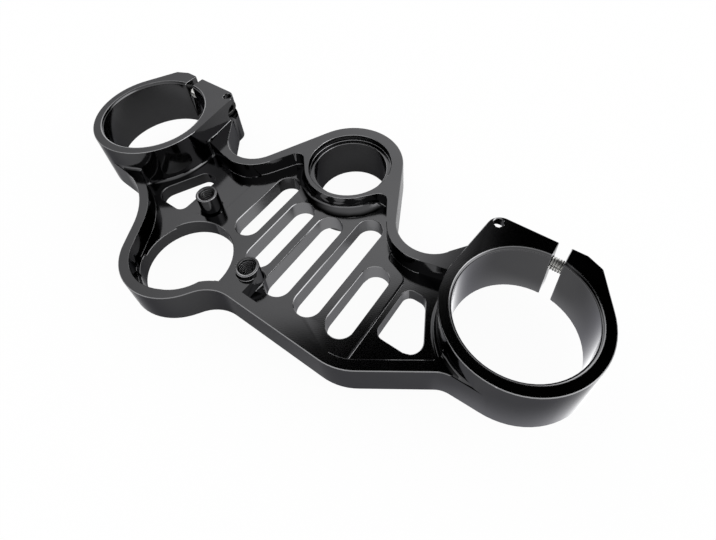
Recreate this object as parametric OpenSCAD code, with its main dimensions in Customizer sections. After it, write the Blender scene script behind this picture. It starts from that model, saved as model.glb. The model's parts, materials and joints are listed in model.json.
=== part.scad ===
/* Upper triple clamp for a motorcycle fork: two slotted fork rings, a stem bore and a ribbed web. */
/* Frame: x runs from the left fork to the right fork, +y towards the rider, +z up. */
/* The origin lies on the stem axis, in the plane of the underside. */

/* [Forks] */
// Distance between the two fork axes
fork_spacing = 212; // [208:0.5:216]
// Distance of the fork axes in front of the stem axis
fork_offset = 34; // [32:0.5:36]
// Bore that grips the fork tube, diameter
fork_bore_d = 53; // [51:0.1:54]
// Wall of a fork ring
ring_wall = 5.2; // [4:0.1:6]
// Height of the fork rings and pinch blocks
ring_height = 29; // [26:0.5:32]
// Chamfer round the mouth of each fork bore
bore_chamfer = 1.1; // [0.6:0.1:1.6]
// Fillet at the foot of each fork ring
ring_foot = 2; // [1:0.1:3]

/* [Pinch blocks] */
// How far the rear face of a block lies behind its fork ring
block_rise = 3; // [2.5:0.1:4.5]
// How far the inner side of a block stays inside the flank of its fork ring
block_inset = 2.9; // [1.5:0.1:3.5]
// Distance from the fork axis to the outer end of the rear face
block_outer = 12.5; // [10:0.5:14]
// Reach of the outer facet corner beyond the ring
facet_reach = 3.3; // [2.5:0.1:4]
// Turn of the outer facet corner from the direction across the clamp
facet_angle = 61; // [58:0.5:64]
// Radius of the facet corners
facet_r = 1.5; // [1:0.1:2]
// Radius of the inner rear corner of a block
block_corner_r = 6.2; // [4:0.2:7]
// Radius where a block meets the rim
block_foot_r = 3; // [2:0.2:4]
// Width of the slit
slit_w = 5.2; // [3.6:0.1:5.6]
// Distance of the slit from the fork axis, outwards
slit_offset = 2.2; // [1:0.1:3.5]

/* [Pinch bolts] */
// Shank diameter of a pinch bolt
bolt_d = 6; // [5:0.5:6]
// Length of a pinch bolt under its head
bolt_len = 30; // [26:1:31]
// Head diameter
bolt_head_d = 10; // [8.5:0.1:10]
// Head height
bolt_head_h = 6; // [4:0.5:6]
// Width across flats of the hexagon socket
bolt_socket_af = 5; // [4:0.5:5]
// Distance of the bolt axis behind the wall of the fork bore
bolt_gap = 3.9; // [3.6:0.1:4.4]
// Depth of the bolt axis under the top face
bolt_drop = 8.7; // [7.5:0.1:10]
// Distance from the fork axis to the seat of the bolt head
bolt_seat = 18.5; // [17:0.5:21]
// Play round the head of the bolt in its counterbore
head_clearance = 0.3; // [0.2:0.05:0.5]
// Play round the shank of the bolt on the head side of the slit
shank_clearance = 0.2; // [0.15:0.05:0.3]
// Play of the bolt in its threaded hole, which is drawn without its thread
thread_clearance = 0.05; // [0.02:0.01:0.08]
// Diameter of the vent hole that comes down on each bolt head
vent_d = 4.6; // [3.6:0.2:5.2]

/* [Stem] */
// Bore for the steering stem, diameter
stem_bore_d = 37; // [35:0.5:38]
// Recess for the stem nut, diameter
stem_recess_d = 41.8; // [40:0.2:43]
// Depth of the stem nut recess
stem_recess_depth = 3.6; // [2:0.2:5]
// Wall of the boss round the recess
stem_boss_wall = 2.3; // [1.8:0.1:3]
// Wall of the rim behind the recess
stem_rim_wall = 6.1; // [5:0.1:7]
// Fillet at the foot of the stem boss
stem_foot = 5.2; // [3:0.2:6]
// Wall of the stem seat under the clamp
stem_seat_wall = 5.5; // [4.5:0.5:7]
// Height of the stem seat under the clamp
stem_seat_h = 9; // [6:0.5:10]

/* [Rim and web] */
// Height of the rim above the underside
rim_height = 17.2; // [15:0.2:19]
// Width of the rim wall
rim_w = 4.6; // [3.5:0.1:5]
// Thickness of the slotted web
web_t = 9; // [8:0.2:10]
// Step down from the slotted web to the window floors
window_step = 1.6; // [1:0.1:2.4]
// Width of the ledge along the left step
ledge_w = 4; // [3:0.2:5]
// Corner radius inside the rear pocket corners
pocket_corner_r = 4; // [3:0.5:5]
// Radius where the pocket closes between rim and fork ring
nook_r = 1.5; // [1:0.1:2.2]
// Radius where the pocket closes between front rim and right fork ring
front_nook_r = 4; // [3:0.2:4.6]
// Turn of the rear closing of the pocket from the direction across the clamp
rear_nook_angle = 9; // [7:0.5:12]

/* [Ignition bore] */
// Ignition bore centre, left of the middle plane
ignition_x = 33; // [32:0.5:34]
// Ignition bore centre, in front of the fork axes
ignition_y = 48.2; // [47:0.2:50]
// Ignition bore diameter
ignition_d = 42; // [40:0.5:43.5]
// Centre of the bulge of the rim, left of the middle plane
bulge_x = 35; // [34:0.5:37]
// Centre of the bulge of the rim, in front of the fork axes
bulge_y = 48.5; // [47.5:0.5:50]
// Wall between the ignition bore and the outside of the bulge
bulge_wall = 5.2; // [4.5:0.1:6]

/* [Posts] */
// Post diameter
post_d = 10.5; // [9.5:0.5:12]
// Height of the posts above the underside
post_height = 19.4; // [18:0.2:22]
// Core diameter of the threaded hole in each post
post_hole_d = 6.8; // [5:0.1:7]
// Chamfer round the mouth of each threaded hole
post_chamfer = 0.8; // [0.3:0.1:1.1]
// Fillet at the foot of each post
post_foot = 1.2; // [0.6:0.1:1.6]
// Left post, left of the middle plane
post1_x = 45.6; // [44.5:0.2:47]
// Left post, in front of the fork axes
post1_y = 20.9; // [20:0.2:22]
// Front post, right of the middle plane
post2_x = 0.3; // [-0.6:0.3:1.2]
// Front post, in front of the fork axes
post2_y = 40; // [39:0.5:41]

/* [Outline] */
// Distance of the straight front edge in front of the fork axes
front_edge = 54; // [52:0.5:56]
// Radius of the hollow between ignition bulge and front edge
front_hollow_r = 17.1; // [15:0.5:19]
// Radius of the front right corner
front_corner_r = 26; // [24:0.5:28]
// Place of the front right corner circle, right of the middle
front_corner_x = 50; // [48:0.5:52]
// Radius of the hollow in front of the right fork ring
ring_hollow_r = 11; // [9:0.5:13]
// Turn of this hollow from the direction straight in front of the fork axis
ring_hollow_angle = 14.8; // [13:0.2:17]
// Radius of the hollow between the ignition bulge and the left fork ring
left_hollow_r = 40.5; // [36:0.5:44]
// Straight run kept between two arcs of the outline
arc_gap = 0.9; // [0.5:0.1:1.4]
// Radius at the bottom of the rear notches
notch_r = 16.3; // [14:0.1:18]
// Place of the rear notches, to either side of the middle
notch_x = 54; // [52:0.5:56]
// Bottom of the rear notches, behind the fork axes
notch_y = 7.5; // [6:0.5:9]

/* [Slots and windows] */
// Distance between two slots
slot_pitch = 17; // [16:0.1:17.5]
// Width of a slot
slot_w = 12.8; // [10:0.1:13.4]
// Middle slot, right of the middle plane
slot_mid_x = 11.4; // [10.6:0.2:12]
// First slot from the left, front and rear end in front of or behind the fork axes
slot1_front = -25; // [-27:0.5:-23]
slot1_rear = 16; // [12:0.5:17]
// Second slot
slot2_front = -35; // [-36:0.5:-33]
slot2_rear = 7; // [5:0.5:8]
// Third slot
slot3_front = -41.4; // [-43:0.2:-39]
slot3_rear = 7; // [5:0.5:8]
// Fourth slot
slot4_front = -41.4; // [-43:0.2:-39]
slot4_rear = 16; // [12:0.5:17]
// Fifth slot
slot5_front = -41.4; // [-43:0.2:-39]
slot5_rear = -4; // [-8:0.5:-3]
// Web between the last slot and the step to the window
step_margin = 4.4; // [3.5:0.1:5]
// Corner radius of the windows
window_r = 4; // [3:0.5:5]
// Corner radius of the windows in front, beside the fork ring
window_front_r = 5.6; // [4.5:0.1:6]
// Web between a window and the fork ring beside it
window_margin = 4.8; // [3.8:0.1:5.4]
// Inner side of a window, to either side of the middle
window_inner = 58.6; // [57.5:0.2:60]
// Front side of a window, in front of the fork axes
window_front = 30.6; // [29:0.2:32]
// Rear side of a window, in front of the fork axes
window_rear = 5.2; // [4:0.2:7]

/* [Hidden] */
$fn = 96;
fork_x = fork_spacing / 2;
bore_r = fork_bore_d / 2;
ring_r = bore_r + ring_wall;
ignition_r = ignition_d / 2;
bulge_r = ignition_r + bulge_wall;
recess_r = stem_recess_d / 2;
boss_r = recess_r + stem_boss_wall;
stem_rim_r = recess_r + stem_rim_wall;
seat_r = stem_bore_d / 2 + stem_seat_wall;
post_r = post_d / 2;
slot_r = slot_w / 2;
window_floor = web_t - window_step;
ledge_floor = web_t - window_step / 2;
block_rear = ring_r + block_rise;
block_side = fork_x - ring_r + block_inset;
slit_x = fork_x + slit_offset;
bolt_y = bore_r + bolt_gap;
bolt_z = ring_height - bolt_drop;
head_seat_x = fork_x - bolt_seat;
head_hole_r = bolt_head_d / 2 + head_clearance;
step_right = slot_mid_x + 2 * slot_pitch + slot_r + step_margin;
post_gap = 0.9;
foot_margin = 0.4;

// Circle i of a closed path, each circle given as x, y and radius, with the radius negative where the path turns
// round its outside
function pick(path, i) = path[(i + len(path)) % len(path)];
// Heading of the straight run that leaves circle a and meets circle b
function run_angle(a, b) =
  atan2(b[1] - a[1], b[0] - a[0]) - asin((b[2] - a[2]) / norm([b[0] - a[0], b[1] - a[1]]));
// Point where a run of heading t touches circle c, moved a hair inside it so that the two overlap
function touch(c, t) =
  [c[0], c[1]] - (c[2] - sign(c[2]) * 0.004) * [-sin(t), cos(t)];
// Corner points of the straight runs round a path
function run_points(path) = [
  for (i = [0 : len(path) - 1])
    for (p = [
      touch(path[i], run_angle(pick(path, i - 1), path[i])),
      touch(path[i], run_angle(path[i], pick(path, i + 1)))
    ]) p
];
// The same path moved towards its inside
function inset_path(path, d) = [for (c = path) [c[0], c[1], c[2] - d]];
// The path seen in the mirror plane between the forks
function mirror_path(path) = [for (i = [len(path) - 1 : -1 : 0]) [-path[i][0], path[i][1], path[i][2]]];
// Circle of radius r beside circles a and b, at distance gap from both, left of the way from a to b for side 1
function nestle(a, b, r, gap, side) =
  let (
    d = [b[0] - a[0], b[1] - a[1]],
    ra = abs(a[2]) + r + gap,
    rb = abs(b[2]) + r + gap,
    t = (ra * ra - rb * rb + d * d) / (2 * norm(d)),
    h = side * sqrt(ra * ra - t * t),
    p = [a[0], a[1]] + (t * d + h * [-d[1], d[0]]) / norm(d)
  ) [p[0], p[1], r];
// The circle with its radius turned inside out
function hollow(c) = [c[0], c[1], -c[2]];

// Area inside a path: straight runs, rounded out by its full circles and hollowed by the others
module path_area(path) {
  difference() {
    union() {
      polygon(run_points(path));
      for (c = path) {
        if (c[2] > 0) translate([c[0], c[1]]) circle(r = c[2]);
      }
    }
    for (c = path) {
      if (c[2] < 0) translate([c[0], c[1]]) circle(r = -c[2]);
    }
  }
}

// Circles of the outline
ring_right = [fork_x, 0, ring_r];
ring_left = [-fork_x, 0, ring_r];
bulge = [-bulge_x, -bulge_y, bulge_r];
front_reach = bulge_r + front_hollow_r + 0.05;
front_drop = bulge_y - front_edge - front_hollow_r;
front_hollow = [sqrt(pow(front_reach, 2) - pow(front_drop, 2)) - bulge_x, -front_edge - front_hollow_r, -front_hollow_r];
front_corner = [front_corner_x, front_corner_r - front_edge, front_corner_r];
ring_hollow_reach = ring_r + ring_hollow_r + 2 * arc_gap;
ring_hollow = [
  fork_x - ring_hollow_reach * sin(ring_hollow_angle),
  -ring_hollow_reach * cos(ring_hollow_angle),
  -ring_hollow_r
];
left_hollow = hollow(nestle(ring_left, bulge, left_hollow_r, arc_gap, -1));
block_foot = [block_side + block_foot_r + 2.9, block_rear - 1.7 - block_foot_r, block_foot_r];
notch = [notch_x, notch_y + notch_r, -notch_r];

rim_path = [
  bulge,
  front_hollow,
  front_corner,
  ring_hollow,
  ring_right,
  block_foot,
  notch,
  [0, fork_offset, stem_rim_r],
  [-notch[0], notch[1], notch[2]],
  [-block_foot[0], block_foot[1], block_foot[2]],
  ring_left,
  left_hollow
];

// The pocket inside the rim runs hollow round the fork rings and the stem boss
inner_ring_hollow = [ring_hollow[0], ring_hollow[1], -ring_hollow_r - rim_w];
inner_left_hollow = [left_hollow[0], left_hollow[1], -left_hollow_r - rim_w];
rear_nook_reach = ring_r + nook_r + 0.05;
rear_nook = [fork_x - rear_nook_reach * cos(rear_nook_angle), rear_nook_reach * sin(rear_nook_angle), nook_r];
boss_corner_x = boss_r + 2.7;
boss_corner_y = fork_offset - 12;
pocket_path = [
  [bulge[0], bulge[1], bulge_r - rim_w],
  [front_hollow[0], front_hollow[1], -front_hollow_r - rim_w],
  [front_corner[0], front_corner[1], front_corner_r - rim_w],
  nestle(ring_right, inner_ring_hollow, front_nook_r, 0.05, -1),
  hollow(ring_right),
  rear_nook,
  [notch[0], notch[1], -notch_r - rim_w],
  [boss_corner_x, boss_corner_y, pocket_corner_r],
  [0, fork_offset, -boss_r],
  [-boss_corner_x, boss_corner_y, pocket_corner_r],
  [-notch[0], notch[1], -notch_r - rim_w],
  [-rear_nook[0], rear_nook[1], nook_r],
  hollow(ring_left),
  nestle(ring_left, inner_left_hollow, nook_r, 0.05, 1),
  inner_left_hollow
];

// Raised floor with the slots; on the left it bends round the post
step_corner_r = 4;
plateau_path = [
  [step_right - step_corner_r, -front_edge - 8, step_corner_r],
  [step_right - step_corner_r, slot5_rear - 1.5, step_corner_r],
  [notch_x - 7, notch_y - 3.3, -3.2],
  [notch_x - 15, fork_offset, 1],
  [post_r + post_gap - post1_x + 1, fork_offset, 1],
  [-post1_x, -post1_y, -post_r - post_gap],
  [-post1_x - 2.4, -post1_y - post_r - post_gap - step_corner_r, step_corner_r],
  [-post1_x - 2.4, -front_edge - 8, step_corner_r]
];

// Window beside the right fork ring
window_top_r = ring_r + window_margin + window_r;
window_low_r = ring_r + window_margin + window_front_r;
window_low_x = fork_x - sqrt(pow(window_low_r, 2) - pow(window_front - window_front_r, 2));
window_path = [
  [window_inner + window_r, window_r - window_front, window_r],
  [window_low_x, window_front_r - window_front, window_front_r],
  [fork_x - window_top_r, -window_rear - window_r, window_r],
  [window_inner + window_r, -window_rear - window_r, window_r]
];

block_path = [
  ring_right,
  [
    fork_x + (ring_r + facet_reach) * cos(facet_angle),
    (ring_r + facet_reach) * sin(facet_angle),
    facet_r
  ],
  [fork_x + block_outer - facet_r, block_rear - facet_r, facet_r],
  [block_side + block_corner_r, block_rear - block_corner_r, block_corner_r]
];
// Front and rear end of each slot, from the left
slot_ends = [
  [slot1_front, slot1_rear],
  [slot2_front, slot2_rear],
  [slot3_front, slot3_rear],
  [slot4_front, slot4_rear],
  [slot5_front, slot5_rear]
];

// Slotted hole along y
module slot_area(x, ends) {
  translate([x - slot_r, ends[0] + slot_r]) square([slot_w, ends[1] - ends[0] - slot_w]);
  translate([x, ends[0] + slot_r]) circle(r = slot_r);
  translate([x, ends[1] - slot_r]) circle(r = slot_r);
}

// Hollow fillet of size f round the foot of a cylinder of radius r
module foot(r, f) {
  rotate_extrude() polygon([
    [r - 1, -0.5],
    [r + f, -0.5],
    for (a = [0 : 22.5 : 90]) [r + f - f * sin(a), f - f * cos(a)],
    [r - 1, f]
  ]);
}

// The right half is copied in the mirror plane between the forks
module both_sides() {
  children();
  mirror([1, 0, 0]) children();
}

// Inside of the rim wall, from the underside upwards; the feet are kept within it
module rim_inside() {
  linear_extrude(rim_height) path_area(inset_path(rim_path, rim_w / 2));
}

// Everything that is cut from one fork ring, right side
module fork_cuts() {
  translate([fork_x, 0, -1]) cylinder(r = bore_r, h = ring_height + 2);
  translate([fork_x, 0, ring_height - bore_chamfer]) {
    cylinder(r1 = bore_r, r2 = bore_r + 2 * bore_chamfer, h = 2 * bore_chamfer);
  }
  translate([fork_x, 0, -bore_chamfer]) {
    cylinder(r1 = bore_r + 2 * bore_chamfer, r2 = bore_r, h = 2 * bore_chamfer);
  }
  translate([slit_x - slit_w / 2, bore_r - 3, -1]) cube([slit_w, block_rise + ring_wall + 6, ring_height + 2]);
  translate([0, bolt_y, bolt_z]) rotate([0, 90, 0]) {
    translate([0, 0, block_side - 6]) cylinder(r = head_hole_r, h = head_seat_x - block_side + 6);
    translate([0, 0, head_seat_x - 1]) cylinder(r = bolt_d / 2 + shank_clearance, h = slit_x - head_seat_x + 1);
    translate([0, 0, slit_x]) {
      cylinder(r = bolt_d / 2 + thread_clearance, h = head_seat_x + bolt_len + 1 - slit_x);
    }
  }
  translate([block_side + 4, bolt_y + 0.5, bolt_z]) cylinder(d = vent_d, h = ring_height);
}

// Chamfer of a post's threaded hole, at the top face of the post
module post_mouth() {
  translate([0, 0, -post_chamfer]) {
    cylinder(r1 = post_hole_d / 2, r2 = post_hole_d / 2 + 2 * post_chamfer, h = 2 * post_chamfer);
  }
}

module clamp_body() {
  color([0.06, 0.06, 0.065])
  translate([0, -fork_offset, 0]) difference() {
    union() {
      difference() {
        linear_extrude(rim_height) path_area(rim_path);
        translate([0, 0, window_floor]) linear_extrude(rim_height) path_area(pocket_path);
      }
      // Raised floor with the slots, and the ledge along its left side
      linear_extrude(web_t) intersection() {
        path_area(inset_path(rim_path, rim_w / 2));
        path_area(plateau_path);
      }
      translate([post_r + post_gap - post1_x - ledge_w, -post1_y, 1]) cube([ledge_w + 1, post1_y + notch_y, ledge_floor - 1]);
      both_sides() linear_extrude(ring_height) path_area(block_path);
      // Stem boss and the seat of the stem under it
      translate([0, fork_offset, -stem_seat_h]) cylinder(r = seat_r, h = stem_seat_h + 1);
      translate([0, fork_offset, 0]) cylinder(r = boss_r, h = rim_height);
      // Fillets at the feet of boss and rings, inside the rim and on its top
      intersection() {
        translate([0, 0, rim_height - 0.5]) linear_extrude(ring_foot + 1) difference() {
          path_area(inset_path(rim_path, foot_margin));
          path_area(inset_path(pocket_path, -foot_margin));
        }
        both_sides() translate([fork_x, 0, rim_height]) foot(ring_r, ring_foot);
      }
      intersection() {
        rim_inside();
        union() {
          translate([0, fork_offset, web_t]) foot(boss_r, stem_foot);
          both_sides() translate([fork_x, 0, window_floor]) foot(ring_r, ring_foot);
        }
      }
      // Posts, the front one joined to the rim by a rib
      translate([-post1_x, -post1_y, 1]) cylinder(r = post_r, h = post_height - 1);
      translate([post2_x, -post2_y, 1]) cylinder(r = post_r, h = post_height - 1);
      translate([-post1_x, -post1_y, window_floor]) foot(post_r, post_foot);
      translate([post2_x, -post2_y, web_t]) foot(post_r, post_foot);
      translate([post2_x - post_r, rim_w / 2 - front_edge, 1]) {
        cube([post_d, front_edge - post2_y - rim_w / 2, rim_height - 1.6]);
      }
    }
    both_sides() fork_cuts();
    // Stem bore and nut recess
    translate([0, fork_offset, -stem_seat_h - 1]) cylinder(r = stem_bore_d / 2, h = stem_seat_h + rim_height + 2);
    translate([0, fork_offset, rim_height - stem_recess_depth]) cylinder(r = recess_r, h = stem_recess_depth + 1);
    // Ignition bore
    translate([-ignition_x, -ignition_y, -1]) cylinder(r = ignition_r, h = rim_height + 2);
    // Threaded holes of the posts
    translate([-post1_x, -post1_y, -1]) cylinder(r = post_hole_d / 2, h = post_height + 2);
    translate([post2_x, -post2_y, -1]) cylinder(r = post_hole_d / 2, h = post_height + 2);
    translate([-post1_x, -post1_y, post_height]) post_mouth();
    translate([post2_x, -post2_y, post_height]) post_mouth();
    // Lightening slots
    for (i = [0 : 4]) {
      translate([0, 0, -1]) linear_extrude(rim_height) slot_area(slot_mid_x + (i - 2) * slot_pitch, slot_ends[i]);
    }
    // Windows beside the fork rings
    translate([0, 0, -1]) linear_extrude(web_t + 2) path_area(window_path);
    translate([0, 0, -1]) linear_extrude(web_t + 2) path_area(mirror_path(window_path));
  }
}

// Socket head pinch bolt, head towards the middle plane, right side
module pinch_bolt() {
  color([0.6, 0.6, 0.6])
  translate([0, bolt_y - fork_offset, bolt_z]) rotate([0, 90, 0]) difference() {
    union() {
      translate([0, 0, head_seat_x - bolt_head_h]) cylinder(r = bolt_head_d / 2, h = bolt_head_h);
      translate([0, 0, head_seat_x - 1]) cylinder(r = bolt_d / 2, h = bolt_len);
      translate([0, 0, head_seat_x - 1 + bolt_len]) cylinder(r1 = bolt_d / 2, r2 = bolt_d / 2 - 0.6, h = 1);
    }
    translate([0, 0, head_seat_x - bolt_head_h - 1]) {
      cylinder(r = bolt_socket_af / 2 / cos(30), h = bolt_head_h / 2 + 1, $fn = 6);
    }
  }
}

module pinch_bolt_right() {
  pinch_bolt();
}

module pinch_bolt_left() {
  mirror([1, 0, 0]) pinch_bolt();
}

clamp_body();
pinch_bolt_left();
pinch_bolt_right();
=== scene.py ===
import bpy, bmesh, json, math
from mathutils import Euler, Matrix, Vector
from mathutils.bvhtree import BVHTree
from mathutils.kdtree import KDTree


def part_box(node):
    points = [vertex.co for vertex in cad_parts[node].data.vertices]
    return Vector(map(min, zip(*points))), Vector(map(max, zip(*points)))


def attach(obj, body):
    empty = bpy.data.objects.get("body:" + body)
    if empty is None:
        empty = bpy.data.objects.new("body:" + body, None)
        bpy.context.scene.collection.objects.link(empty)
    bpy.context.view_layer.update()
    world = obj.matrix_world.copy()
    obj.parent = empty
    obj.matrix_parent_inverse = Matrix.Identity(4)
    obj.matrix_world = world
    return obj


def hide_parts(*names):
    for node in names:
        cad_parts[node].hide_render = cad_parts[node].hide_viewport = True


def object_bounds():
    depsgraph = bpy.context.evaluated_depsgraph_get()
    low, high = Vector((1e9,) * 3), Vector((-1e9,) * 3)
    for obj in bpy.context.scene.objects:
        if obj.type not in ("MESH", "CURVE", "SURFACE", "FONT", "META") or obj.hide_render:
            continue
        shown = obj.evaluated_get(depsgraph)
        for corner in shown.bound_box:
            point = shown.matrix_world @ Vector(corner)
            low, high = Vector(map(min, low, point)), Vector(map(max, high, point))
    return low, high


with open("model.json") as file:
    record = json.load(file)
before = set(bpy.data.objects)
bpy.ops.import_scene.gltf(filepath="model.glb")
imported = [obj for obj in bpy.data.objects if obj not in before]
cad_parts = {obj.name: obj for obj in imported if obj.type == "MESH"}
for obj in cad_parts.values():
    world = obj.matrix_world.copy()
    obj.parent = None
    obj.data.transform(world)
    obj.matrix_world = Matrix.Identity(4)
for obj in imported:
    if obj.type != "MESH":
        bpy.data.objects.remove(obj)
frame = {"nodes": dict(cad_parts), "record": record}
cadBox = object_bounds()
print("frame loaded:", sorted(frame["nodes"]))

millimetre = 0.001


# Node helpers
def addNode(tree, kind, spot=(0, 0), **settings):
    node = tree.nodes.new(kind)
    node.location = spot
    for name, value in settings.items():
        setattr(node, name, value)
    return node


def addSocket(tree, name, direction, kind, value=None):
    socket = tree.interface.new_socket(name=name, in_out=direction, socket_type=kind)
    if value is not None:
        socket.default_value = value
    return socket


def setInputs(node, values):
    for name, value in values.items():
        node.inputs[name].default_value = value


def linkAll(tree, pairs):
    for source, target in pairs:
        tree.links.new(source, target)


# Machined skin: cutter marks, fine grain and cloudy dye
skinLook = {
    "grainDetail": 3.0, "cloudDetail": 4.0, "cloudRoughness": 0.6,
    "arcDistortion": 0.6, "arcDetail": 0.4, "ringDistortion": 0.3,
    "grainShare": 0.35, "patternFrom": 0.5, "patternTo": 0.9,
    # Fade and colour of the painted shade in counterbores
    "counterboreShadeFade": 2.0 * millimetre, "counterboreShadeColor": (0.02, 0.02, 0.02), "bumpDistance": 0.02 * millimetre,
}


def makeMachinedSkin():
    look = skinLook
    group = bpy.data.node_groups.new("machinedSkin", "ShaderNodeTree")
    addSocket(group, "Grain Scale", "INPUT", "NodeSocketFloat", 1800.0)
    addSocket(group, "Cloud Scale", "INPUT", "NodeSocketFloat", 28.0)
    addSocket(group, "Cutter Scale", "INPUT", "NodeSocketFloat", 450.0)
    addSocket(group, "Cutter Depth", "INPUT", "NodeSocketFloat", 0.25)
    addSocket(group, "Rough Low", "INPUT", "NodeSocketFloat", 0.24)
    addSocket(group, "Rough High", "INPUT", "NodeSocketFloat", 0.34)
    addSocket(group, "Dark", "INPUT", "NodeSocketColor", (0.010, 0.010, 0.011, 1))
    addSocket(group, "Light", "INPUT", "NodeSocketColor", (0.020, 0.020, 0.021, 1))
    addSocket(group, "Color", "OUTPUT", "NodeSocketColor")
    addSocket(group, "Roughness", "OUTPUT", "NodeSocketFloat")
    addSocket(group, "Height", "OUTPUT", "NodeSocketFloat")
    inputs = addNode(group, "NodeGroupInput", (-1100, 0))
    outputs = addNode(group, "NodeGroupOutput", (700, 0))
    spot = addNode(group, "ShaderNodeTexCoord", (-1100, 300))
    grain = addNode(group, "ShaderNodeTexNoise", (-700, 300))
    setInputs(grain, {"Detail": look["grainDetail"]})
    cloud = addNode(group, "ShaderNodeTexNoise", (-700, 0))
    setInputs(cloud, {"Detail": look["cloudDetail"], "Roughness": look["cloudRoughness"]})
    # Arcs of the face mill on level faces, turning rings on upright ones
    milled = addNode(group, "ShaderNodeTexWave", (-700, 900), wave_type="RINGS", rings_direction="Z")
    setInputs(milled, {"Distortion": look["arcDistortion"], "Detail Scale": look["arcDetail"]})
    turned = addNode(group, "ShaderNodeTexWave", (-700, 600), wave_type="BANDS", bands_direction="Z")
    setInputs(turned, {"Distortion": look["ringDistortion"]})
    facing = addNode(group, "ShaderNodeNewGeometry", (-1100, 1100))
    parts = addNode(group, "ShaderNodeSeparateXYZ", (-900, 1100))
    level = addNode(group, "ShaderNodeMath", (-700, 1150), operation="ABSOLUTE")
    cutter = addNode(group, "ShaderNodeMix", (-400, 750), data_type="FLOAT")
    marks = addNode(group, "ShaderNodeMath", (-200, 600), operation="MULTIPLY")
    relief = addNode(group, "ShaderNodeMath", (0, 500), operation="ADD")
    blend = addNode(group, "ShaderNodeMix", (0, 0), data_type="RGBA")
    rough = addNode(group, "ShaderNodeMapRange", (0, 300))
    setInputs(rough, {"From Min": look["patternFrom"], "From Max": look["patternTo"]})
    both = addNode(group, "ShaderNodeMath", (-300, 200), operation="MULTIPLY_ADD")
    both.inputs[1].default_value = look["grainShare"]
    for texture, scale in (
        (grain, "Grain Scale"), (cloud, "Cloud Scale"), (milled, "Cutter Scale"), (turned, "Cutter Scale"),
    ):
        group.links.new(spot.outputs["Object"], texture.inputs["Vector"])
        group.links.new(inputs.outputs[scale], texture.inputs["Scale"])
    linkAll(group, [
        (facing.outputs["True Normal"], parts.inputs["Vector"]),
        (parts.outputs["Z"], level.inputs[0]),
        (level.outputs["Value"], cutter.inputs["Factor"]),
        (turned.outputs["Fac"], cutter.inputs["A"]),
        (milled.outputs["Fac"], cutter.inputs["B"]),
        (cutter.outputs["Result"], marks.inputs[0]),
        (inputs.outputs["Cutter Depth"], marks.inputs[1]),
        (marks.outputs["Value"], relief.inputs[0]),
        (grain.outputs["Fac"], relief.inputs[1]),
        (grain.outputs["Fac"], both.inputs[0]),
        (cloud.outputs["Fac"], both.inputs[2]),
        (both.outputs["Value"], rough.inputs["Value"]),
        (inputs.outputs["Rough Low"], rough.inputs["To Min"]),
        (inputs.outputs["Rough High"], rough.inputs["To Max"]),
        (cloud.outputs["Fac"], blend.inputs["Factor"]),
        (inputs.outputs["Dark"], blend.inputs["A"]),
        (inputs.outputs["Light"], blend.inputs["B"]),
        (blend.outputs["Result"], outputs.inputs["Color"]),
        (rough.outputs["Result"], outputs.inputs["Roughness"]),
        (relief.outputs["Value"], outputs.inputs["Height"]),
    ])
    return group


machinedSkin = makeMachinedSkin()


def makeMetal(name, look):
    material = bpy.data.materials.new(name)
    material.use_nodes = True
    tree = material.node_tree
    shader = tree.nodes["Principled BSDF"]
    setInputs(shader, {"Metallic": 1.0, "Specular Tint": (*look["grazing"], 1)})
    skin = addNode(tree, "ShaderNodeGroup", (-700, 200), node_tree=machinedSkin)
    setInputs(skin, {
        "Grain Scale": look["grain"], "Cloud Scale": look["cloud"],
        "Cutter Scale": look["cutter"], "Cutter Depth": look["cutterDepth"],
        "Rough Low": look["rough"][0], "Rough High": look["rough"][1],
        "Dark": (*look["dark"], 1), "Light": (*look["light"], 1),
    })
    # Painted shade: parts near the middle plane, such as a head deep in its counterbore, are darkened towards
    # a shade colour that stands in for the dark of the counterbore
    spot = addNode(tree, "ShaderNodeTexCoord", (-1100, -300))
    parts = addNode(tree, "ShaderNodeSeparateXYZ", (-900, -300))
    away = addNode(tree, "ShaderNodeMath", (-700, -300), operation="ABSOLUTE")
    counterboreShade = addNode(tree, "ShaderNodeMapRange", (-500, -300), interpolation_type="SMOOTHSTEP")
    setInputs(counterboreShade, {
        "From Min": look["counterboreShadeUpTo"], "From Max": look["counterboreShadeUpTo"] + skinLook["counterboreShadeFade"],
        "To Min": look["counterboreShade"], "To Max": 0.0,
    })
    shadedColor = addNode(tree, "ShaderNodeMix", (-350, 200), data_type="RGBA")
    shadedColor.inputs["B"].default_value = (*skinLook["counterboreShadeColor"], 1)
    bump = addNode(tree, "ShaderNodeBump", (-350, -200))
    setInputs(bump, {"Strength": look["bump"], "Distance": skinLook["bumpDistance"]})
    linkAll(tree, [
        (spot.outputs["Object"], parts.inputs["Vector"]),
        (parts.outputs["X"], away.inputs[0]),
        (away.outputs["Value"], counterboreShade.inputs["Value"]),
        (counterboreShade.outputs["Result"], shadedColor.inputs["Factor"]),
        (skin.outputs["Color"], shadedColor.inputs["A"]),
        (shadedColor.outputs["Result"], shader.inputs["Base Color"]),
        (skin.outputs["Roughness"], shader.inputs["Roughness"]),
        (skin.outputs["Height"], bump.inputs["Height"]),
        (bump.outputs["Normal"], shader.inputs["Normal"]),
    ])
    return material


bodyFinish = {
    "grazing": (0.45, 0.45, 0.46), "grain": 1800.0, "cloud": 28.0, "cutter": 380.0, "cutterDepth": 0.3,
    "rough": (0.09, 0.14), "bump": 0.12, "counterboreShade": 0.0, "counterboreShadeUpTo": 0.0,
    "dark": (0.058, 0.058, 0.060), "light": (0.076, 0.076, 0.078),
}
blackAnodised = makeMetal("blackAnodised", bodyFinish)
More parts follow.
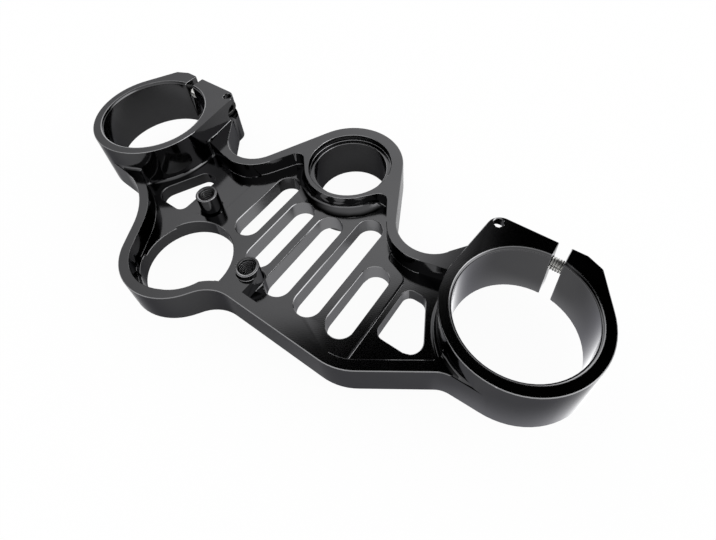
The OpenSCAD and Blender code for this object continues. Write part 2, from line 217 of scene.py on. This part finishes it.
# Painted highlight: edges and threads get a lighter metal so that they show bright lines
edgeHighlightPaint = makeMetal("edgeHighlightPaint", {
    **bodyFinish, "grazing": (0.8, 0.8, 0.8), "rough": (0.16, 0.24), "bump": 0.1,
    "dark": (0.17, 0.17, 0.175), "light": (0.26, 0.26, 0.265),
})
# Walls of the slots, milled through the web last
# Painted reflection: the walls of the slots get a lighter metal that stands in for the bright floor they
# reflect
slotWallReflection = makeMetal("slotWallReflection", {
    **bodyFinish, "rough": (0.24, 0.32), "dark": (0.16, 0.16, 0.165), "light": (0.20, 0.20, 0.205),
})
# Pinch bolt steel; near the middle plane its head is darkened with painted shade for its counterbore
boltSteel = makeMetal("boltSteel", {
    "grazing": (1.0, 1.0, 1.0), "grain": 2600.0, "cloud": 90.0, "cutter": 900.0, "cutterDepth": 0.2,
    "rough": (0.22, 0.36), "bump": 0.3, "counterboreShade": 0.95, "counterboreShadeUpTo": 90.0 * millimetre,
    "dark": (0.50, 0.50, 0.49), "light": (0.66, 0.66, 0.64),
})
print("materials made")

# Fineness of the grown threads and knurls
growLook = {"stepsPerTurn": 40, "ridgeSides": 4, "knurlSides": 6}


# Thread helix: a ridge of diamond section wound up the z axis
def makeThreadTree():
    tree = bpy.data.node_groups.new("threadHelix", "GeometryNodeTree")
    addSocket(tree, "Geometry", "INPUT", "NodeSocketGeometry")
    addSocket(tree, "Turns", "INPUT", "NodeSocketFloat", 10.0)
    addSocket(tree, "Pitch", "INPUT", "NodeSocketFloat", 1.0 * millimetre)
    addSocket(tree, "Radius", "INPUT", "NodeSocketFloat", 2.5 * millimetre)
    addSocket(tree, "Depth", "INPUT", "NodeSocketFloat", 0.5 * millimetre)
    addSocket(tree, "Fill", "INPUT", "NodeSocketFloat", 0.47)
    addSocket(tree, "Material", "INPUT", "NodeSocketMaterial")
    addSocket(tree, "Geometry", "OUTPUT", "NodeSocketGeometry")
    inputs = addNode(tree, "NodeGroupInput", (-900, 0))
    outputs = addNode(tree, "NodeGroupOutput", (900, 0))
    rise = addNode(tree, "ShaderNodeMath", (-650, 200), operation="MULTIPLY")
    spiral = addNode(tree, "GeometryNodeCurveSpiral", (-400, 200))
    spiral.inputs["Resolution"].default_value = growLook["stepsPerTurn"]
    upright = addNode(tree, "GeometryNodeSetCurveNormal", (-200, 200), mode="Z_UP")
    # The section has unit size, and is scaled to the depth and the filled part of the pitch
    section = addNode(tree, "GeometryNodeCurvePrimitiveCircle", (-400, -200))
    setInputs(section, {"Resolution": growLook["ridgeSides"], "Radius": 1.0})
    half = addNode(tree, "ShaderNodeMath", (-650, -300), operation="MULTIPLY")
    shape = addNode(tree, "ShaderNodeCombineXYZ", (-400, -400))
    shape.inputs["Z"].default_value = 1.0
    sized = addNode(tree, "GeometryNodeTransform", (-100, -200))
    sweep = addNode(tree, "GeometryNodeCurveToMesh", (150, 100))
    sweep.inputs["Fill Caps"].default_value = True
    real = addNode(tree, "GeometryNodeRealizeInstances", (400, 100))
    paint = addNode(tree, "GeometryNodeSetMaterial", (650, 100))
    linkAll(tree, [
        (inputs.outputs["Turns"], rise.inputs[0]),
        (inputs.outputs["Pitch"], rise.inputs[1]),
        (inputs.outputs["Turns"], spiral.inputs["Rotations"]),
        (inputs.outputs["Radius"], spiral.inputs["Start Radius"]),
        (inputs.outputs["Radius"], spiral.inputs["End Radius"]),
        (rise.outputs["Value"], spiral.inputs["Height"]),
        (inputs.outputs["Pitch"], half.inputs[0]),
        (inputs.outputs["Fill"], half.inputs[1]),
        (inputs.outputs["Depth"], shape.inputs["X"]),
        (half.outputs["Value"], shape.inputs["Y"]),
        (section.outputs["Curve"], sized.inputs["Geometry"]),
        (shape.outputs["Vector"], sized.inputs["Scale"]),
        (spiral.outputs["Curve"], upright.inputs["Curve"]),
        (upright.outputs["Curve"], sweep.inputs["Curve"]),
        (sized.outputs["Geometry"], sweep.inputs["Profile Curve"]),
        (sweep.outputs["Mesh"], real.inputs["Geometry"]),
        (real.outputs["Geometry"], paint.inputs["Geometry"]),
        (inputs.outputs["Material"], paint.inputs["Material"]),
        (paint.outputs["Geometry"], outputs.inputs["Geometry"]),
    ])
    return tree


# Knurl: straight ridges set round the side of a screw head
def makeKnurlTree():
    tree = bpy.data.node_groups.new("headKnurl", "GeometryNodeTree")
    addSocket(tree, "Geometry", "INPUT", "NodeSocketGeometry")
    addSocket(tree, "Count", "INPUT", "NodeSocketInt", 48)
    addSocket(tree, "Radius", "INPUT", "NodeSocketFloat", 5.0 * millimetre)
    addSocket(tree, "Length", "INPUT", "NodeSocketFloat", 4.0 * millimetre)
    addSocket(tree, "Ridge", "INPUT", "NodeSocketFloat", 0.2 * millimetre)
    addSocket(tree, "Material", "INPUT", "NodeSocketMaterial")
    addSocket(tree, "Geometry", "OUTPUT", "NodeSocketGeometry")
    inputs = addNode(tree, "NodeGroupInput", (-900, 0))
    outputs = addNode(tree, "NodeGroupOutput", (900, 0))
    ring = addNode(tree, "GeometryNodeMeshCircle", (-500, 200))
    stick = addNode(tree, "GeometryNodeMeshCylinder", (-500, -200))
    stick.inputs["Vertices"].default_value = growLook["knurlSides"]
    spread = addNode(tree, "GeometryNodeInstanceOnPoints", (-100, 100))
    real = addNode(tree, "GeometryNodeRealizeInstances", (200, 100))
    paint = addNode(tree, "GeometryNodeSetMaterial", (500, 100))
    linkAll(tree, [
        (inputs.outputs["Count"], ring.inputs["Vertices"]),
        (inputs.outputs["Radius"], ring.inputs["Radius"]),
        (inputs.outputs["Ridge"], stick.inputs["Radius"]),
        (inputs.outputs["Length"], stick.inputs["Depth"]),
        (ring.outputs["Mesh"], spread.inputs["Points"]),
        (stick.outputs["Mesh"], spread.inputs["Instance"]),
        (spread.outputs["Instances"], real.inputs["Geometry"]),
        (real.outputs["Geometry"], paint.inputs["Geometry"]),
        (inputs.outputs["Material"], paint.inputs["Material"]),
        (paint.outputs["Geometry"], outputs.inputs["Geometry"]),
    ])
    return tree


threadHelix = makeThreadTree()
headKnurl = makeKnurlTree()


def newPiece(name, mesh):
    piece = bpy.data.objects.new(name, mesh)
    bpy.context.scene.collection.objects.link(piece)
    return piece


# The object's mesh with its modifiers worked in
def bakedMesh(piece):
    depsgraph = bpy.context.evaluated_depsgraph_get()
    return bpy.data.meshes.new_from_object(piece.evaluated_get(depsgraph))


def bakeModifiers(piece):
    baked = bakedMesh(piece)
    piece.modifiers.clear()
    piece.data = baked
    return piece


# Mesh that a node tree makes with the given named inputs
def grow(tree, values):
    holder = newPiece("holder", bpy.data.meshes.new("holder"))
    modifier = holder.modifiers.new("grow", "NODES")
    modifier.node_group = tree
    for socket in tree.interface.items_tree:
        if socket.in_out == "INPUT" and socket.name in values:
            modifier[socket.identifier] = values[socket.name]
    mesh = bakedMesh(holder)
    bpy.data.objects.remove(holder)
    return mesh


# A face counts as level when its normal's z is above this
levelFrom = 0.9998


# Rounded faces blend into each other, level ones are plainly flat
def smoothShade(piece, sharpAngle):
    for face in piece.data.polygons:
        face.use_smooth = True
    piece.data.set_sharp_from_angle(angle=sharpAngle)
    weights = piece.modifiers.new("faceWeights", "WEIGHTED_NORMAL")
    weights.mode = "FACE_AREA"
    weights.keep_sharp = True
    mesh = bakeModifiers(piece).data
    normals = [corner.vector.copy() for corner in mesh.corner_normals]
    for face in mesh.polygons:
        if abs(face.normal.z) > levelFrom:
            for corner in face.loop_indices:
                normals[corner] = face.normal.copy()
    mesh.normals_split_custom_set(normals)


# Clamp body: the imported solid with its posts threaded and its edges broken
bodyLook = {
    "weld": 0.002 * millimetre, "flat": math.radians(0.6), "joined": math.radians(1),
    "edgeBreak": 0.3 * millimetre, "rounds": 1, "sharpFrom": math.radians(28), "shadeAngle": math.radians(32),
    "trials": 6, "plainTilt": math.radians(4), "breakTilt": math.radians(100),
    "offSkin": 0.05 * millimetre, "tinyArea": 1e-12, "crampedReach": 2.2, "sameCorner": 0.02 * millimetre,
    "posts": ("post_thread_left", "post_thread_front"), "postGap": 0.01 * millimetre,
    "threadPitch": 1.25 * millimetre, "threadDepth": 0.55 * millimetre, "threadTurns": 18, "threadFill": 0.45,
    "boreMouth": 27.1 * millimetre, "uprightTo": 0.2,
    "slotsAt": (0.012, -0.053), "slotsReach": 0.050, "web": 9.1 * millimetre,
}
# Material slots of the body, in the order of their numbers
bodyFinishes = (blackAnodised, edgeHighlightPaint, slotWallReflection)
plainSlot, highlightEdgeSlot, reflectionWallSlot = range(3)


def cleanCopy(node, name):
    piece = newPiece(name, frame["nodes"][node].data.copy())
    mesh = bmesh.new()
    mesh.from_mesh(piece.data)
    bmesh.ops.remove_doubles(mesh, verts=mesh.verts, dist=bodyLook["weld"])
    mesh.to_mesh(piece.data)
    mesh.free()
    piece.data.materials.clear()
    for finish in bodyFinishes:
        piece.data.materials.append(finish)
    return piece


def mountsNamed(starts):
    return [mount for mount in frame["record"]["mounts"] if mount["name"].startswith(starts)]


# Distance of a point from an upright axis
def fromAxis(point, axis):
    return math.hypot(point.x - axis[0], point.y - axis[1])


def insidePost(point):
    for mount in mountsNamed(bodyLook["posts"]):
        reach = mount["dims"]["r_mm"] * millimetre + bodyLook["threadDepth"] + bodyLook["postGap"]
        if fromAxis(point, mount["pos_m"]) < reach:
            return True
    return False


# Level faces as wide pieces, so a break has room at each corner
def joinFlats(piece):
    mesh = bmesh.new()
    mesh.from_mesh(piece.data)
    bmesh.ops.dissolve_limit(mesh, angle_limit=bodyLook["flat"], verts=mesh.verts, edges=mesh.edges)
    bmesh.ops.triangulate(mesh, faces=mesh.faces, quad_method="BEAUTY", ngon_method="BEAUTY")
    bmesh.ops.join_triangles(
        mesh, faces=mesh.faces, cmp_materials=True,
        angle_face_threshold=bodyLook["joined"], angle_shape_threshold=math.pi,
    )
    return mesh


def closest(points):
    tree = KDTree(max(1, len(points)))
    for i, point in enumerate(points):
        tree.insert(point, i)
    tree.balance()
    return tree


# Corners of the faces that a break has folded over or tilted off the skin
def foldedCorners(piece, skin):
    corners = []
    for face in piece.data.polygons:
        if insidePost(face.center) or face.area < bodyLook["tinyArea"]:
            continue
        _, normal, _, distance = skin.find_nearest(face.center)
        plain = face.material_index == plainSlot
        tilt = bodyLook["plainTilt"] if plain else bodyLook["breakTilt"]
        if normal.angle(face.normal, 0) > tilt or (plain and distance > bodyLook["offSkin"]):
            corners.extend(piece.data.vertices[i].co.copy() for i in face.vertices)
    return corners


# Breaks every sharp edge but those of the threads and those too cramped for it
def breakEdges(piece):
    reach = bodyLook["crampedReach"] * bodyLook["edgeBreak"]
    whole = piece.data.copy()
    start = bmesh.new()
    start.from_mesh(whole)
    skin = BVHTree.FromBMesh(start)
    start.free()
    cramped = []
    for trial in range(bodyLook["trials"]):
        piece.data = whole.copy()
        mesh = joinFlats(piece)
        sharp = closest(cramped)
        weight = mesh.edges.layers.float.new("bevel_weight_edge")
        for edge in mesh.edges:
            ends = [vertex.co for vertex in edge.verts]
            if not edge.is_manifold or edge.calc_face_angle(0) < bodyLook["sharpFrom"]:
                continue
            if any(insidePost(end) for end in ends):
                continue
            if cramped and any(sharp.find(end)[2] < bodyLook["sameCorner"] for end in ends):
                continue
            edge[weight] = 1.0
        places = closest([vertex.co.copy() for vertex in mesh.verts])
        mesh.to_mesh(piece.data)
        mesh.free()
        breaks = piece.modifiers.new("edgeBreaks", "BEVEL")
        breaks.width = bodyLook["edgeBreak"]
        breaks.segments = bodyLook["rounds"]
        breaks.limit_method = "WEIGHT"
        breaks.use_clamp_overlap = False
        # The break faces take the lighter metal of the painted edge highlight
        breaks.material = highlightEdgeSlot
        bakeModifiers(piece)
        folded = foldedCorners(piece, skin)
        for corner in folded:
            cramped.extend(found[0].copy() for found in places.find_range(corner, reach))
        print("edge breaks, trial", trial, "folded corners", len(folded))
        if not folded:
            break


def threadPosts(piece):
    for mount in mountsNamed(bodyLook["posts"]):
        x, y, z = mount["pos_m"]
        height = bodyLook["threadTurns"] * bodyLook["threadPitch"]
        # The thread ridges take the lighter metal of the painted edge highlight
        ridge = grow(threadHelix, {
            "Turns": float(bodyLook["threadTurns"]), "Pitch": bodyLook["threadPitch"],
            "Radius": mount["dims"]["r_mm"] * millimetre, "Depth": bodyLook["threadDepth"],
            "Fill": bodyLook["threadFill"], "Material": edgeHighlightPaint,
        })
        ridge.transform(Matrix.Translation((x, y, z - height / 2)))
        cutter = newPiece(mount["name"], ridge)
        cut = piece.modifiers.new("thread", "BOOLEAN")
        cut.operation = "DIFFERENCE"
        cut.solver = "EXACT"
        cut.material_mode = "TRANSFER"
        cut.object = cutter
        bakeModifiers(piece)
        bpy.data.objects.remove(cutter)


# Painted reflection: slot walls get the lighter metal that stands in for the floor they reflect; fork bore
# mouths keep the plain finish, without the painted edge highlight, so they are as dark as the rings
def paintWalls(piece):
    bores = [mount["pos_m"] for mount in mountsNamed("fork_clamp")]
    for face in piece.data.polygons:
        if any(fromAxis(face.center, bore) < bodyLook["boreMouth"] for bore in bores):
            face.material_index = plainSlot
        if face.material_index != plainSlot or abs(face.normal.z) > bodyLook["uprightTo"]:
            continue
        top = max(piece.data.vertices[i].co.z for i in face.vertices)
        if fromAxis(face.center, bodyLook["slotsAt"]) < bodyLook["slotsReach"] and top < bodyLook["web"]:
            face.material_index = reflectionWallSlot


def printSkin(stage, piece):
    mesh = bmesh.new()
    mesh.from_mesh(piece.data)
    openEdges = sum(1 for edge in mesh.edges if not edge.is_manifold)
    print(stage, len(mesh.faces), "faces,", openEdges, "open edges")
    mesh.free()


clampShell = cleanCopy("clamp_body", "clampShell")
threadPosts(clampShell)
printSkin("posts threaded:", clampShell)
breakEdges(clampShell)
printSkin("edges broken:", clampShell)
paintWalls(clampShell)
smoothShade(clampShell, bodyLook["shadeAngle"])
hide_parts("clamp_body")
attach(clampShell, "root")

# Pinch bolts: socket head screws with a knurled head and a real thread
boltLook = {
    "headHeight": 6.0 * millimetre, "headEdge": 0.45 * millimetre,
    "socketAcross": 5.0 * millimetre, "socketDepth": 3.0 * millimetre,
    "socketEdge": 0.3 * millimetre, "socketCone": 0.8 * millimetre,
    "shankRadius": 3.0 * millimetre, "neckTo": 1.5 * millimetre, "coreFrom": 2.2 * millimetre,
    "tipLength": 0.8 * millimetre, "tipDrop": 0.6 * millimetre,
    "pitch": 1.0 * millimetre, "threadDepth": 0.45 * millimetre, "threadFill": 0.5,
    "threadFrom": 1.8 * millimetre, "threadless": 3.0 * millimetre,
    "knurls": 54, "knurlSize": 0.22 * millimetre, "knurlSink": 0.6, "plainRim": 0.9 * millimetre,
    "steps": 48, "shadeAngle": math.radians(35),
}


# Surface of revolution round z through points of radius and height; its first ring is given back
def revolve(mesh, profile, steps):
    turns = [2 * math.pi * i / steps for i in range(steps)]
    rings = []
    for radius, height in profile:
        if radius == 0:
            rings.append([mesh.verts.new((0, 0, height))])
            continue
        rings.append([mesh.verts.new((radius * math.cos(a), radius * math.sin(a), height)) for a in turns])
    for low, high in zip(rings, rings[1:]):
        for i in range(steps):
            here, there = i, i + 1
            corners = [
                low[here % len(low)], low[there % len(low)],
                high[there % len(high)], high[here % len(high)],
            ]
            corners = [corner for k, corner in enumerate(corners) if corner not in corners[:k]]
            if len(corners) > 2:
                mesh.faces.new(corners)
    return rings[0]


def azimuth(vertex):
    return math.atan2(vertex.co.y, vertex.co.x)


# Hexagon socket inside the round mouth of the head
def cutSocket(mesh, mouth):
    look = boltLook
    sides = len(mouth)
    sixth = math.pi / 3
    rims = []
    for depth in (look["socketEdge"], look["socketDepth"]):
        rim = []
        for vertex in mouth:
            angle = azimuth(vertex)
            turn = (angle + sixth / 2) % sixth - sixth / 2
            radius = look["socketAcross"] / 2 / math.cos(turn)
            rim.append(mesh.verts.new((radius * math.cos(angle), radius * math.sin(angle), depth)))
        rims.append(rim)
    centre = mesh.verts.new((0, 0, look["socketDepth"] + look["socketCone"]))
    for outer, inner in ((mouth, rims[0]), (rims[0], rims[1])):
        for i in range(sides):
            mesh.faces.new((outer[i], outer[(i + 1) % sides], inner[(i + 1) % sides], inner[i]))
    for i in range(sides):
        mesh.faces.new((rims[1][i], rims[1][(i + 1) % sides], centre))


# Screw along z: the head's open face at 0, its shank running to the given length
def boltMesh(headRadius, length):
    look = boltLook
    body = headRadius - look["knurlSize"] * look["knurlSink"]
    shank = look["shankRadius"]
    core = shank - look["threadDepth"]
    head = look["headHeight"]
    edge = look["headEdge"]
    socket = look["socketAcross"] / 2 / math.cos(math.pi / 6)
    mesh = bmesh.new()
    mouth = revolve(mesh, [
        (socket + look["socketEdge"], 0), (body - edge, 0), (body, edge), (body, head - edge / 2),
        (body - edge / 2, head), (shank, head), (shank, head + look["neckTo"]),
        (core, head + look["coreFrom"]), (core, length - look["tipLength"]),
        (core - look["tipDrop"], length), (0, length),
    ], look["steps"])
    cutSocket(mesh, sorted(mouth, key=azimuth))
    bmesh.ops.recalc_face_normals(mesh, faces=mesh.faces)
    thread = grow(threadHelix, {
        "Turns": (length - head - look["threadless"]) / look["pitch"], "Pitch": look["pitch"],
        "Radius": core, "Depth": look["threadDepth"], "Fill": look["threadFill"], "Material": boltSteel,
    })
    thread.transform(Matrix.Translation((0, 0, head + look["threadFrom"])))
    knurl = grow(headKnurl, {
        "Count": look["knurls"], "Radius": body, "Length": head - 2 * look["plainRim"],
        "Ridge": look["knurlSize"], "Material": boltSteel,
    })
    knurl.transform(Matrix.Translation((0, 0, head / 2)))
    mesh.from_mesh(thread)
    mesh.from_mesh(knurl)
    screw = bpy.data.meshes.new("screw")
    mesh.to_mesh(screw)
    mesh.free()
    return screw


def makeBolt(side, outward):
    node = "pinch_bolt_" + side
    low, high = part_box(node)
    screw = boltMesh((high.y - low.y) / 2, high.x - low.x)
    headEnd = low.x if outward > 0 else high.x
    aim = Matrix.Rotation(outward * math.pi / 2, 4, "Y")
    place = Matrix.Translation((headEnd, (low.y + high.y) / 2, (low.z + high.z) / 2))
    screw.transform(place @ aim)
    bolt = newPiece(side + "PinchBolt", screw)
    screw.materials.clear()
    screw.materials.append(boltSteel)
    smoothShade(bolt, boltLook["shadeAngle"])
    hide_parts(node)
    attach(bolt, "root")


makeBolt("left", -1)
makeBolt("right", 1)
print("pinch bolts made")

# Floor: pale, white to the camera, and a card whose brightness changes by place to reflections
floorLook = {
    "height": cadBox[0].z, "reach": 3.0, "color": (0.80, 0.80, 0.80), "roughness": 0.9, "specular": 0.1,
    "cameraWhite": 0.95, "cardFrom": 0.0, "cardTo": 0.10, "cardDim": 0.08, "cardBright": 1.0,
    "ringAt": (0.106, -0.034, cadBox[0].z), "ringWall": 0.0285, "ringReach": 0.015, "ringGlow": 2.4,
    "slotsAt": (0.014, -0.0912, 0.0), "slotsShape": (1.0, 1.6, 1.0), "slotsFrom": 0.058, "slotsTo": 0.046,
}


def makeFloor():
    look = floorLook
    mesh = bpy.data.meshes.new("studioFloor")
    r, z = look["reach"], look["height"]
    mesh.from_pydata([(-r, -r, z), (r, -r, z), (r, r, z), (-r, r, z)], [], [(0, 1, 2, 3)])
    floor = newPiece("studioFloor", mesh)
    material = bpy.data.materials.new("paleFloor")
    material.use_nodes = True
    tree = material.node_tree
    output = tree.nodes["Material Output"]
    paint = tree.nodes["Principled BSDF"]
    setInputs(paint, {
        "Base Color": (*look["color"], 1), "Roughness": look["roughness"],
        "Specular IOR Level": look["specular"],
    })
    white = addNode(tree, "ShaderNodeEmission", (0, -200))
    ray = addNode(tree, "ShaderNodeLightPath", (-600, 300))
    spot = addNode(tree, "ShaderNodeTexCoord", (-1000, 600))
    parts = addNode(tree, "ShaderNodeSeparateXYZ", (-800, 600))
    card = addNode(tree, "ShaderNodeMapRange", (-600, 600), interpolation_type="SMOOTHSTEP")
    setInputs(card, {
        "From Min": look["cardFrom"], "From Max": look["cardTo"],
        "To Min": look["cardDim"], "To Max": look["cardBright"],
    })
    # The floor under the slots is bright in their walls
    squeezed = addNode(tree, "ShaderNodeVectorMath", (-1000, 900), operation="MULTIPLY")
    squeezed.inputs[1].default_value = look["slotsShape"]
    away = addNode(tree, "ShaderNodeVectorMath", (-800, 900), operation="DISTANCE")
    away.inputs[1].default_value = look["slotsAt"]
    under = addNode(tree, "ShaderNodeMapRange", (-600, 900), interpolation_type="SMOOTHSTEP")
    setInputs(under, {"From Min": look["slotsFrom"], "From Max": look["slotsTo"]})
    brighter = addNode(tree, "ShaderNodeMath", (-400, 700), operation="MAXIMUM")
    # Close to the right ring's wall the floor is brighter still
    fromRing = addNode(tree, "ShaderNodeVectorMath", (-800, -400), operation="DISTANCE")
    fromRing.inputs[1].default_value = look["ringAt"]
    fromWall = addNode(tree, "ShaderNodeMath", (-600, -400), operation="SUBTRACT")
    fromWall.inputs[1].default_value = look["ringWall"]
    width = addNode(tree, "ShaderNodeMath", (-400, -400), operation="ABSOLUTE")
    glow = addNode(tree, "ShaderNodeMapRange", (-200, -400), interpolation_type="SMOOTHSTEP")
    setInputs(glow, {"From Max": look["ringReach"], "To Min": look["ringGlow"], "To Max": 0.0})
    lit = addNode(tree, "ShaderNodeMath", (0, -400), operation="MULTIPLY_ADD")
    lit.inputs[2].default_value = 1.0
    seen = addNode(tree, "ShaderNodeMath", (-400, 300), operation="MULTIPLY")
    seen.inputs[1].default_value = look["cameraWhite"]
    mirrored = addNode(tree, "ShaderNodeMath", (-200, 300), operation="MULTIPLY_ADD")
    mixed = addNode(tree, "ShaderNodeMixShader", (200, 0))
    linkAll(tree, [
        (ray.outputs["Is Camera Ray"], seen.inputs[0]),
        (spot.outputs["Object"], parts.inputs["Vector"]),
        (parts.outputs["X"], card.inputs["Value"]),
        (ray.outputs["Is Glossy Ray"], mirrored.inputs[0]),
        (spot.outputs["Object"], fromRing.inputs[0]),
        (fromRing.outputs["Value"], fromWall.inputs[0]),
        (fromWall.outputs["Value"], width.inputs[0]),
        (width.outputs["Value"], glow.inputs["Value"]),
        (ray.outputs["Is Glossy Ray"], lit.inputs[0]),
        (glow.outputs["Result"], lit.inputs[1]),
        (lit.outputs["Value"], white.inputs["Strength"]),
        (spot.outputs["Object"], squeezed.inputs[0]),
        (squeezed.outputs["Vector"], away.inputs[0]),
        (away.outputs["Value"], under.inputs["Value"]),
        (card.outputs["Result"], brighter.inputs[0]),
        (under.outputs["Result"], brighter.inputs[1]),
        (brighter.outputs["Value"], mirrored.inputs[1]),
        (seen.outputs["Value"], mirrored.inputs[2]),
        (mirrored.outputs["Value"], mixed.inputs["Fac"]),
        (paint.outputs["BSDF"], mixed.inputs[1]),
        (white.outputs["Emission"], mixed.inputs[2]),
        (mixed.outputs["Shader"], output.inputs["Surface"]),
    ])
    mesh.materials.append(material)


def addRamp(tree, spot, kind, limits, source):
    ramp = addNode(tree, "ShaderNodeMapRange", spot, interpolation_type=kind)
    setInputs(ramp, dict(zip(("From Min", "From Max", "To Min", "To Max"), limits)))
    tree.links.new(source, ramp.inputs["Value"])
    return ramp.outputs["Result"]


def addMath(tree, spot, operation, first, second):
    node = addNode(tree, "ShaderNodeMath", spot, operation=operation)
    tree.links.new(first, node.inputs[0])
    tree.links.new(second, node.inputs[1])
    return node.outputs["Value"]


def addDot(tree, spot, source, direction):
    node = addNode(tree, "ShaderNodeVectorMath", spot, operation="DOT_PRODUCT")
    node.inputs[1].default_value = Vector(direction).normalized()
    tree.links.new(source, node.inputs[0])
    return node.outputs["Value"]


# Sky: an upright softbox behind the left ring, a band along the horizon, a glow on the camera's side
# and a lamp on the right, which draws the light lines on the slots' edges
studioLook = {
    "plainGlow": 1.0,
    "boxAzimuth": math.radians(145), "boxAhead": 0.1, "boxRight": (-0.82, -0.40), "boxLeft": (0.55, 0.95),
    "boxTop": (1.98, 1.74), "boxGlow": (1.75, 0.95),
    "bandGlow": 1.3, "bandFrom": 0.18, "bandTo": 0.40,
    "nearSide": (0.60, -0.65, 0.47), "nearGlow": 1.0, "nearFrom": 0.2, "nearTo": 0.9,
    "rightSide": (0.76, 0.36, 0.52), "rightGlow": 3.2, "rightFrom": 0.80, "rightTo": 0.96,
}


def makeSky():
    look = studioLook
    world = bpy.data.worlds.new("studioSky")
    bpy.context.scene.world = world
    world.use_nodes = True
    tree = world.node_tree
    sky = tree.nodes["Background"]
    output = tree.nodes["World Output"]
    spot = addNode(tree, "ShaderNodeTexCoord", (-1500, 0)).outputs["Generated"]
    turn = look["boxAzimuth"]
    ahead = addDot(tree, (-1300, 400), spot, (math.cos(turn), math.sin(turn), 0))
    side = addDot(tree, (-1300, 200), spot, (-math.sin(turn), math.cos(turn), 0))
    up = addDot(tree, (-1300, 0), spot, (0, 0, 1))
    near = addDot(tree, (-1300, -200), spot, look["nearSide"])
    slant = addDot(tree, (-1300, -400), spot, look["rightSide"])
    across = addMath(tree, (-1100, 250), "DIVIDE", side, ahead)
    height = addMath(tree, (-1100, 50), "DIVIDE", up, ahead)
    # The softbox is a product of ramps across and up its plane
    boxRight, boxLeft, boxTop = look["boxRight"], look["boxLeft"], look["boxTop"]
    box = addRamp(tree, (-1100, 500), "LINEAR", (0.0, look["boxAhead"], 0.0, 1.0), ahead)
    right = addRamp(tree, (-900, 600), "SMOOTHSTEP", (*boxRight, 0.0, 1.0), across)
    left = addRamp(tree, (-900, 400), "SMOOTHSTEP", (*boxLeft, 1.0, 0.0), across)
    glow = addRamp(tree, (-900, 200), "LINEAR", (boxRight[1], boxLeft[0], *look["boxGlow"]), across)
    top = addRamp(tree, (-900, 0), "SMOOTHSTEP", (boxTop[1], boxTop[0], 1.0, 0.0), height)
    for place, part in enumerate((right, left, glow, top)):
        box = addMath(tree, (-700 + 100 * place, 300), "MULTIPLY", box, part)
    bandLimits = (look["bandFrom"], look["bandTo"], look["bandGlow"], 0.0)
    band = addRamp(tree, (-900, -200), "SMOOTHSTEP", bandLimits, up)
    nearLimits = (look["nearFrom"], look["nearTo"], 0.0, look["nearGlow"])
    soft = addRamp(tree, (-900, -400), "SMOOTHSTEP", nearLimits, near)
    rightLimits = (look["rightFrom"], look["rightTo"], 0.0, look["rightGlow"])
    beside = addRamp(tree, (-900, -600), "SMOOTHSTEP", rightLimits, slant)
    lower = addMath(tree, (-600, -300), "ADD", band, soft)
    lower = addMath(tree, (-400, -300), "ADD", lower, beside)
    strength = addMath(tree, (-200, 0), "ADD", box, lower)
    white = addNode(tree, "ShaderNodeBackground", (0, -200))
    ray = addNode(tree, "ShaderNodeLightPath", (0, 300))
    # Matt surfaces are lit evenly, so that a colour renders as it is written
    even = addNode(tree, "ShaderNodeMix", (0, 100), data_type="FLOAT")
    even.inputs["B"].default_value = look["plainGlow"]
    mixed = addNode(tree, "ShaderNodeMixShader", (250, 0))
    sky.inputs["Color"].default_value = (1, 1, 1, 1)
    white.inputs["Color"].default_value = (1, 1, 1, 1)
    linkAll(tree, [
        (ray.outputs["Is Diffuse Ray"], even.inputs["Factor"]),
        (strength, even.inputs["A"]),
        (even.outputs["Result"], sky.inputs["Strength"]),
        (ray.outputs["Is Camera Ray"], mixed.inputs["Fac"]),
        (sky.outputs["Background"], mixed.inputs[1]),
        (white.outputs["Background"], mixed.inputs[2]),
        (mixed.outputs["Shader"], output.inputs["Surface"]),
    ])


# Camera as solved from the photo: sensor in millimetres, place in metres, turn in degrees
cameraLook = {
    "sensor": 36.0, "lens": 25.77, "shift": (-0.0124, -0.1399), "clipStart": 0.01,
    "place": (0.11938, -0.13602, 0.20289), "turn": (43.261, 3.289, 35.143),
}


def makeCamera():
    look = cameraLook
    lens = bpy.data.cameras.new("photoCamera")
    lens.sensor_width = look["sensor"]
    lens.lens = look["lens"]
    lens.shift_x, lens.shift_y = look["shift"]
    lens.clip_start = look["clipStart"]
    camera = newPiece("photoCamera", lens)
    camera.location = look["place"]
    camera.rotation_euler = Euler([math.radians(angle) for angle in look["turn"]])
    bpy.context.scene.camera = camera


makeFloor()
makeSky()
makeCamera()
bpy.context.scene.view_settings.view_transform = "Standard"
print("studio made")
